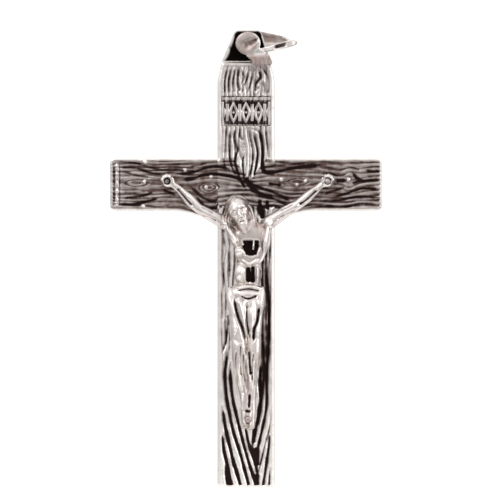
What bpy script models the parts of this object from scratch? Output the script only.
"""Cast pectoral crucifix with a swinging bail, modelled piece by piece.

The cross stands upright with its back in the plane Y = 0 and its front facing -Y. +X is to the
viewer's right, +Z is up, and the origin is where the centre lines of the two beams cross, on the
back. Every dimension below is in millimetres; add_object turns millimetres into metres.
"""

import math

import bmesh
import bpy
from mathutils import Matrix, Vector

METRES_PER_MM = 0.001
GAP = 0.3  # clearance between two pieces that meet
REACH = 1.0  # how far a cutter runs past the surface that it cuts

# The two beams
BEAM_DEPTH = 3.8
UPRIGHT_HALF_WIDTH = 5.7
UPRIGHT_BOTTOM = -60.5
UPRIGHT_TOP = 24.5
SHOULDER_DROP = 3.6
SHOULDER_INSET = 0.8
CROSSBAR_HALF_LENGTH = 27.2
CROSSBAR_HALF_HEIGHT = 5.2
LAP_DEPTH = 1.75  # the part of the crossbar that passes behind the upright
EDGE_ROUNDING = 0.5

# Title plate let into the upright
TITLE_HALF_WIDTH = 4.9
TITLE_LOW = 11.8
TITLE_HIGH = 17.5
TITLE_THICKNESS = 0.6

# Hanger at the top: a plate, a front cheek, and a bail on a pin through both
PIVOT_X = 0.4
PIVOT_Z = 28.24
PIN_RADIUS = 0.6
PIN_HOLE_RADIUS = 0.88
PIN_HEAD_RADIUS = 1.0
CHEEK_BACK = -3.0
PLATE_FRONT = -1.9
PLATE_BACK = -1.4
PLATE_TOP_LEFT = -2.2
PLATE_TOP_RIGHT = 3.0
PLATE_TOP = 30.9
TANG_DEPTH = 2.0
EYE_RADIUS = 2.45
BAIL_EYE_RADIUS = 2.0
STRAP_THICKNESS = 0.5
REAR_LEG_Y = -0.85
FRONT_LEG_Y = -2.45
BOW_Y = -3.3
STRAP_STRAIGHT = 6.5
STRAP_TIP = 9.6

# Figure, a casting of its own with a flat back just clear of the beams
FIGURE_BACK = -BEAM_DEPTH - GAP
FIGURE_VOXEL = 0.4
FIGURE_SHARE_OF_FACES = 0.3
LEFT_PALM = (-15.7, 0.6)
RIGHT_PALM = (16.3, 0.6)
INSTEP = (0.4, -46.9)
NAIL_RADIUS = 0.35
NAIL_HOLE_RADIUS = 0.63
NAIL_HEAD_RADIUS = 0.7
NAIL_HEAD_HEIGHT = 0.35
PALM_FRONT = -5.9
INSTEP_FRONT = -6.9


def clear_scene():
    for obj in list(bpy.data.objects):
        bpy.data.objects.remove(obj, do_unlink=True)


def metal(name, colour, roughness):
    material = bpy.data.materials.new(name)
    material.use_nodes = True
    shader = material.node_tree.nodes["Principled BSDF"]
    shader.inputs["Base Color"].default_value = (*colour, 1.0)
    shader.inputs["Metallic"].default_value = 1.0
    shader.inputs["Roughness"].default_value = roughness
    return material


def add_object(name, bm, material=None, origin=(0.0, 0.0, 0.0)):
    """Link the mesh as an object; a piece without a material is a hidden cutter or helper."""
    bmesh.ops.recalc_face_normals(bm, faces=bm.faces)
    bmesh.ops.scale(bm, vec=Vector((1, 1, 1)) * METRES_PER_MM, verts=bm.verts)
    mesh = bpy.data.meshes.new(name)
    bm.to_mesh(mesh)
    bm.free()
    obj = bpy.data.objects.new(name, mesh)
    obj.location = Vector(origin) * METRES_PER_MM
    bpy.context.scene.collection.objects.link(obj)
    if material:
        mesh.materials.append(material)
    else:
        obj.hide_render = True
        obj.display_type = "WIRE"
    return obj


def combine(obj, helper, operation):
    modifier = obj.modifiers.new(operation.title(), "BOOLEAN")
    modifier.operation = operation
    modifier.solver = "EXACT"
    modifier.object = helper


def round_edges(obj, width=EDGE_ROUNDING):
    modifier = obj.modifiers.new("Rounded edges", "BEVEL")
    modifier.width = width * METRES_PER_MM
    modifier.segments = 2
    modifier.limit_method = "ANGLE"


def block(low, high):
    bm = bmesh.new()
    centre = (Vector(low) + Vector(high)) / 2
    size = Vector(high) - Vector(low)
    bmesh.ops.create_cube(bm, size=1, matrix=Matrix.Translation(centre) @ Matrix.Diagonal(size.to_4d()))
    return bm


def prism(outline, back, front):
    """An outline in X and Z, extruded from back to front along Y."""
    bm = bmesh.new()
    face = bm.faces.new([bm.verts.new((x, back, z)) for x, z in outline])
    extruded = bmesh.ops.extrude_face_region(bm, geom=[face])
    moved = [item for item in extruded["geom"] if isinstance(item, bmesh.types.BMVert)]
    bmesh.ops.translate(bm, vec=(0, front - back, 0), verts=moved)
    return bm


def add_rod(bm, x, z, radius, back, front, segments=24):
    """A cylinder along Y, added to a mesh in progress."""
    place = Matrix.Translation((x, (back + front) / 2, z)) @ Matrix.Rotation(math.pi / 2, 4, "X")
    depth = back - front
    bmesh.ops.create_cone(
        bm, cap_ends=True, segments=segments, radius1=radius, radius2=radius, depth=depth, matrix=place
    )


def rod(x, z, radius, back, front, segments=24):
    bm = bmesh.new()
    add_rod(bm, x, z, radius, back, front, segments)
    return bm


def make_upright(silver):
    outline = [
        (-UPRIGHT_HALF_WIDTH, UPRIGHT_BOTTOM),
        (UPRIGHT_HALF_WIDTH, UPRIGHT_BOTTOM),
        (UPRIGHT_HALF_WIDTH, UPRIGHT_TOP - SHOULDER_DROP),
        (UPRIGHT_HALF_WIDTH - SHOULDER_INSET, UPRIGHT_TOP),
        (SHOULDER_INSET - UPRIGHT_HALF_WIDTH, UPRIGHT_TOP),
        (-UPRIGHT_HALF_WIDTH, UPRIGHT_TOP - SHOULDER_DROP),
    ]
    upright = add_object("upright_beam", prism(outline, 0.0, -BEAM_DEPTH), silver)
    round_edges(upright)
    lap = block(
        (-UPRIGHT_HALF_WIDTH - REACH, -LAP_DEPTH - GAP, -CROSSBAR_HALF_HEIGHT - GAP),
        (UPRIGHT_HALF_WIDTH + REACH, REACH, CROSSBAR_HALF_HEIGHT + GAP),
    )
    combine(upright, add_object("lap_cutter", lap), "DIFFERENCE")
    recess = block(
        (-TITLE_HALF_WIDTH - GAP, -BEAM_DEPTH - REACH, TITLE_LOW - GAP),
        (TITLE_HALF_WIDTH + GAP, -BEAM_DEPTH + TITLE_THICKNESS + GAP, TITLE_HIGH + GAP),
    )
    combine(upright, add_object("title_cutter", recess), "DIFFERENCE")
    slot = block(
        (PLATE_TOP_LEFT - GAP, PLATE_FRONT - GAP, UPRIGHT_TOP - TANG_DEPTH - GAP),
        (PLATE_TOP_RIGHT + GAP, PLATE_BACK + GAP, UPRIGHT_TOP + REACH),
    )
    combine(upright, add_object("tang_cutter", slot), "DIFFERENCE")
    hole = rod(*INSTEP, NAIL_HOLE_RADIUS, REACH, -BEAM_DEPTH - REACH)
    combine(upright, add_object("foot_nail_cutter", hole), "DIFFERENCE")


def make_crossbar(silver):
    outline = [
        (-CROSSBAR_HALF_LENGTH, -CROSSBAR_HALF_HEIGHT),
        (CROSSBAR_HALF_LENGTH, -CROSSBAR_HALF_HEIGHT),
        (CROSSBAR_HALF_LENGTH, CROSSBAR_HALF_HEIGHT),
        (-CROSSBAR_HALF_LENGTH, CROSSBAR_HALF_HEIGHT),
    ]
    crossbar = add_object("crossbar", prism(outline, 0.0, -BEAM_DEPTH), silver)
    round_edges(crossbar)
    lap = block(
        (-UPRIGHT_HALF_WIDTH - GAP, -BEAM_DEPTH - REACH, -CROSSBAR_HALF_HEIGHT - REACH),
        (UPRIGHT_HALF_WIDTH + GAP, -LAP_DEPTH, CROSSBAR_HALF_HEIGHT + REACH),
    )
    combine(crossbar, add_object("crossbar_lap_cutter", lap), "DIFFERENCE")
    for side, palm in (("left", LEFT_PALM), ("right", RIGHT_PALM)):
        hole = rod(*palm, NAIL_HOLE_RADIUS, REACH, -BEAM_DEPTH - REACH)
        combine(crossbar, add_object(f"{side}_nail_cutter", hole), "DIFFERENCE")


def make_title_plate(silver):
    outline = [
        (-TITLE_HALF_WIDTH, TITLE_LOW),
        (TITLE_HALF_WIDTH, TITLE_LOW),
        (TITLE_HALF_WIDTH, TITLE_HIGH),
        (-TITLE_HALF_WIDTH, TITLE_HIGH),
    ]
    back = -BEAM_DEPTH + TITLE_THICKNESS
    plate = add_object("title_plate", prism(outline, back, -BEAM_DEPTH), silver)
    round_edges(plate, 0.15)


def make_hanger_plate(silver):
    """A tapered plate in the middle of the top end, on a tang that enters the upright."""
    foot_half_width = UPRIGHT_HALF_WIDTH - SHOULDER_INSET
    foot = UPRIGHT_TOP + GAP
    outline = [
        (PLATE_TOP_LEFT, UPRIGHT_TOP - TANG_DEPTH),
        (PLATE_TOP_RIGHT, UPRIGHT_TOP - TANG_DEPTH),
        (PLATE_TOP_RIGHT, foot),
        (foot_half_width, foot),
        (PLATE_TOP_RIGHT, PLATE_TOP),
        (PLATE_TOP_LEFT, PLATE_TOP),
        (-foot_half_width, foot),
        (PLATE_TOP_LEFT, foot),
    ]
    plate = add_object("hanger_plate", prism(outline, PLATE_BACK, PLATE_FRONT), silver)
    hole = rod(PIVOT_X, PIVOT_Z, PIN_HOLE_RADIUS, PLATE_BACK + REACH, PLATE_FRONT - REACH)
    combine(plate, add_object("plate_pin_cutter", hole), "DIFFERENCE")


def make_eye_lug(silver):
    """The round front cheek on its flared neck, with a ledge at its root where the bail rests."""
    foot = UPRIGHT_TOP + GAP
    foot_right = UPRIGHT_HALF_WIDTH - SHOULDER_INSET
    ledge_top = PIVOT_Z - BAIL_EYE_RADIUS - GAP
    ledge_left = PIVOT_X + EYE_RADIUS + GAP
    neck = [
        (PIVOT_X + 0.3, foot),
        (foot_right, foot),
        (foot_right, ledge_top),
        (PIVOT_X + EYE_RADIUS - 0.4, PIVOT_Z - 1.5),
        (PIVOT_X, PIVOT_Z - 1.0),
        (PIVOT_X - 1.5, PIVOT_Z - 1.9),
    ]
    lug = add_object("eye_lug", rod(PIVOT_X, PIVOT_Z, EYE_RADIUS, CHEEK_BACK, -BEAM_DEPTH, 32), silver)
    neck_piece = add_object("neck_helper", prism(neck, CHEEK_BACK, -BEAM_DEPTH))
    combine(lug, neck_piece, "UNION")
    ledge = block(
        (ledge_left, -BEAM_DEPTH + 0.1, foot + 0.01),
        (foot_right - 0.01, PLATE_FRONT - GAP, ledge_top - 0.01),
    )
    combine(lug, add_object("ledge_helper", ledge), "UNION")
    hole = rod(PIVOT_X, PIVOT_Z, PIN_HOLE_RADIUS, CHEEK_BACK + REACH, -BEAM_DEPTH - REACH)
    combine(lug, add_object("lug_pin_cutter", hole), "DIFFERENCE")


def make_pivot_pin(silver):
    """A headed pin from the back, through the bail's legs and the plate, ending inside the eye."""
    pin = add_object("pivot_pin", rod(PIVOT_X, PIVOT_Z, PIN_RADIUS, -0.1, -BEAM_DEPTH + 0.4), silver)
    head = add_object("pin_head_helper", rod(PIVOT_X, PIVOT_Z, PIN_HEAD_RADIUS, -0.02, -0.3))
    combine(pin, head, "UNION")


def strap_stations():
    """Stations along the bail's strap as (x, y, lowest z, highest z), measured from the pivot.

    The rear leg runs out to the tip, the strap turns round it, and the front leg bows forward
    before it comes back to its eye.
    """
    middle = (REAR_LEG_Y + BOW_Y) / 2
    half_depth = (REAR_LEG_Y - BOW_Y) / 2
    stations = []
    for x in (0.0, 1.4, 2.6, 4.5, STRAP_STRAIGHT):
        stations.append((x, REAR_LEG_Y, rear_low(x), rear_high(x)))
    turns = 10
    for step in range(1, turns):
        angle = math.pi * step / turns
        x = STRAP_STRAIGHT + (STRAP_TIP - STRAP_STRAIGHT) * math.sin(angle)
        y = middle + half_depth * math.cos(angle)
        share = step / turns
        low = rear_low(x) * (1 - share) + front_low(x) * share
        high = rear_high(x) * (1 - share) + front_high(x) * share
        stations.append((x, y, low, high))
    bow_start = 3.3
    bends = 6
    for step in range(bends + 1):
        share = step / bends
        x = STRAP_STRAIGHT + (bow_start - STRAP_STRAIGHT) * share
        y = BOW_Y + (FRONT_LEG_Y - BOW_Y) * (1 - math.cos(math.pi * share)) / 2
        stations.append((x, y, front_low(x), front_high(x)))
    stations.append((1.2, FRONT_LEG_Y, front_low(1.2), front_high(1.2)))
    return stations


def rear_high(x):
    if x < 2.6:
        return 1.2 + x * 0.5
    return 2.5 - (x - 2.6) * 0.21


def rear_low(x):
    return -0.9 + x * 0.07


def front_high(x):
    return min(-0.7 + (x - 3.4) * 0.27, 0.7)


def front_low(x):
    return max(-1.85 + (x - 3.0) * 0.19, -1.85)


def strap_mesh():
    """Loft the strap's rectangular section along its stations."""
    stations = strap_stations()
    bm = bmesh.new()
    rings = []
    for index, (x, y, low, high) in enumerate(stations):
        before = Vector(stations[max(index - 1, 0)][:2])
        after = Vector(stations[min(index + 1, len(stations) - 1)][:2])
        along = (after - before).normalized()
        out = Vector((along.y, -along.x)) * STRAP_THICKNESS / 2
        inner = Vector((x, y)) - out
        outer = Vector((x, y)) + out
        corners = ((inner, low), (outer, low), (outer, high), (inner, high))
        rings.append([bm.verts.new((place.x, place.y, z)) for place, z in corners])
    for ring, following in zip(rings, rings[1:]):
        for side in range(4):
            nearest = (side + 1) % 4
            bm.faces.new((ring[side], ring[nearest], following[nearest], following[side]))
    bm.faces.new(rings[0])
    bm.faces.new(rings[-1])
    return bm


def make_bail(silver):
    pivot = (PIVOT_X, 0.0, PIVOT_Z)
    bail = add_object("bail", strap_mesh(), silver, pivot)
    half = STRAP_THICKNESS / 2
    for name, y in (("rear_eye_helper", REAR_LEG_Y), ("front_eye_helper", FRONT_LEG_Y)):
        eye = rod(0.0, 0.0, BAIL_EYE_RADIUS, y + half - 0.01, y - half + 0.01, 32)
        combine(bail, add_object(name, eye, None, pivot), "UNION")
    hole = rod(0.0, 0.0, PIN_HOLE_RADIUS, REACH, -BEAM_DEPTH - REACH)
    combine(bail, add_object("bail_pin_cutter", hole, None, pivot), "DIFFERENCE")


def add_blob(bm, centre, radii, tilt=0.0):
    """An ellipsoid, turned by tilt degrees about the front-to-back axis."""
    place = Matrix.Translation(centre) @ Matrix.Rotation(math.radians(tilt), 4, "Y")
    size = Matrix.Diagonal(Vector(radii).to_4d())
    bmesh.ops.create_icosphere(bm, subdivisions=3, radius=1, matrix=place @ size)


def add_limb(bm, start, start_radius, end, end_radius):
    """A tapered limb with a ball at each end."""
    start = Vector(start)
    end = Vector(end)
    direction = end - start
    turn = direction.to_track_quat("Z", "Y").to_matrix().to_4x4()
    place = Matrix.Translation((start + end) / 2) @ turn
    bmesh.ops.create_cone(
        bm,
        cap_ends=True,
        segments=20,
        radius1=start_radius,
        radius2=end_radius,
        depth=direction.length,
        matrix=place,
    )
    add_blob(bm, start, (start_radius,) * 3)
    add_blob(bm, end, (end_radius,) * 3)


def add_chain(bm, joints):
    """Limbs through a list of (point, radius)."""
    for (start, start_radius), (end, end_radius) in zip(joints, joints[1:]):
        add_limb(bm, start, start_radius, end, end_radius)


def add_head(bm):
    """Head with long hair and a short beard, leaning to the viewer's left and forward."""
    add_blob(bm, (-1.3, -6.5, -5.3), (2.2, 2.3, 2.9), -18)
    add_blob(bm, (-1.6, -5.7, -4.9), (3.0, 2.0, 3.2), -18)
    add_limb(bm, (-3.3, -5.6, -6.0), 1.1, (-2.9, -5.6, -8.6), 0.9)
    add_limb(bm, (0.9, -5.6, -5.2), 1.1, (2.0, -5.6, -8.6), 0.9)
    add_limb(bm, (-0.3, -7.0, -7.6), 1.3, (0.3, -6.9, -9.6), 0.8)


def add_trunk(bm):
    add_blob(bm, (0.5, -5.7, -10.6), (4.0, 2.0, 3.8))
    add_blob(bm, (0.8, -5.8, -13.4), (3.3, 1.9, 3.6))
    add_blob(bm, (0.5, -5.5, -17.6), (2.9, 1.7, 4.0))
    add_blob(bm, (-0.1, -5.7, -22.6), (3.7, 2.2, 3.4))


def add_loincloth(bm):
    add_blob(bm, (-0.1, -6.0, -21.6), (3.6, 2.3, 1.4))
    add_blob(bm, (-3.0, -5.7, -24.6), (1.4, 1.7, 4.6))
    add_blob(bm, (0.4, -6.6, -25.0), (1.9, 1.6, 3.4))


def add_arms(bm):
    palm_y = -5.0
    left_x, left_z = LEFT_PALM
    right_x, right_z = RIGHT_PALM
    left = [
        ((-4.2, -5.5, -7.6), 1.6),
        ((-9.6, -5.3, -4.7), 1.25),
        ((-13.6, -5.1, -0.6), 0.85),
        ((left_x + 0.3, palm_y, left_z - 0.1), 0.9),
    ]
    right = [
        ((4.8, -5.5, -7.6), 1.6),
        ((10.6, -5.3, -4.5), 1.25),
        ((14.4, -5.1, -0.9), 0.85),
        ((right_x - 0.3, palm_y, right_z - 0.1), 0.9),
    ]
    add_chain(bm, left)
    add_chain(bm, right)
    add_blob(bm, (left_x, palm_y, left_z), (1.7, 0.9, 1.5))
    add_blob(bm, (right_x, palm_y, right_z), (1.7, 0.9, 1.5))


def add_legs(bm):
    left = [((-1.7, -5.9, -24.0), 1.9), ((-1.5, -6.6, -33.0), 1.5), ((-0.4, -5.5, -43.6), 0.95)]
    right = [((2.0, -5.9, -24.0), 1.9), ((2.0, -6.7, -33.6), 1.5), ((1.3, -5.7, -43.2), 0.95)]
    add_chain(bm, left)
    add_chain(bm, right)
    add_limb(bm, (-0.2, -5.5, -43.8), 0.95, (0.2, -5.5, -47.8), 1.1)
    add_limb(bm, (1.3, -5.8, -43.4), 0.9, (0.5, -5.8, -47.9), 1.1)
    add_blob(bm, (INSTEP[0], -5.8, INSTEP[1]), (1.5, 1.2, 2.0))


def make_figure(silver):
    bm = bmesh.new()
    add_trunk(bm)
    add_head(bm)
    add_loincloth(bm)
    add_arms(bm)
    add_legs(bm)
    figure = add_object("corpus", bm, silver)
    remesh = figure.modifiers.new("One skin", "REMESH")
    remesh.mode = "VOXEL"
    remesh.voxel_size = FIGURE_VOXEL * METRES_PER_MM
    fewer = figure.modifiers.new("Fewer faces", "DECIMATE")
    fewer.ratio = FIGURE_SHARE_OF_FACES
    back = block(
        (-CROSSBAR_HALF_LENGTH, FIGURE_BACK, UPRIGHT_BOTTOM), (CROSSBAR_HALF_LENGTH, REACH, UPRIGHT_TOP)
    )
    combine(figure, add_object("back_cutter", back), "DIFFERENCE")
    holes = bmesh.new()
    for x, z in (LEFT_PALM, RIGHT_PALM, INSTEP):
        add_rod(holes, x, z, NAIL_HOLE_RADIUS, FIGURE_BACK + REACH, -REACH + 2 * INSTEP_FRONT, 16)
    combine(figure, add_object("nail_hole_cutter", holes), "DIFFERENCE")


def make_nail(name, place, head_back, silver):
    """A nail from the front: its domed head, and a shank whose end is flush with the back."""
    nail = add_object(name, rod(*place, NAIL_RADIUS, -0.02, head_back - 0.1, 16), silver)
    head = bmesh.new()
    front = head_back - NAIL_HEAD_HEIGHT
    middle = Matrix.Translation((place[0], (head_back + front) / 2, place[1]))
    bmesh.ops.create_cone(
        head,
        cap_ends=True,
        segments=20,
        radius1=NAIL_HEAD_RADIUS,
        radius2=NAIL_HEAD_RADIUS * 0.6,
        depth=NAIL_HEAD_HEIGHT,
        matrix=middle @ Matrix.Rotation(math.pi / 2, 4, "X"),
    )
    combine(nail, add_object(f"{name}_head_helper", head), "UNION")


def main():
    clear_scene()
    grain_silver = metal("oxidised cast silver", (0.50, 0.47, 0.46), 0.35)
    bright_silver = metal("polished cast silver", (0.83, 0.81, 0.79), 0.22)
    make_upright(grain_silver)
    make_crossbar(grain_silver)
    make_title_plate(grain_silver)
    make_hanger_plate(grain_silver)
    make_eye_lug(bright_silver)
    make_pivot_pin(bright_silver)
    make_bail(bright_silver)
    make_figure(bright_silver)
    make_nail("left_hand_nail", LEFT_PALM, PALM_FRONT - GAP, bright_silver)
    make_nail("right_hand_nail", RIGHT_PALM, PALM_FRONT - GAP, bright_silver)
    make_nail("foot_nail", INSTEP, INSTEP_FRONT - GAP, bright_silver)


main()
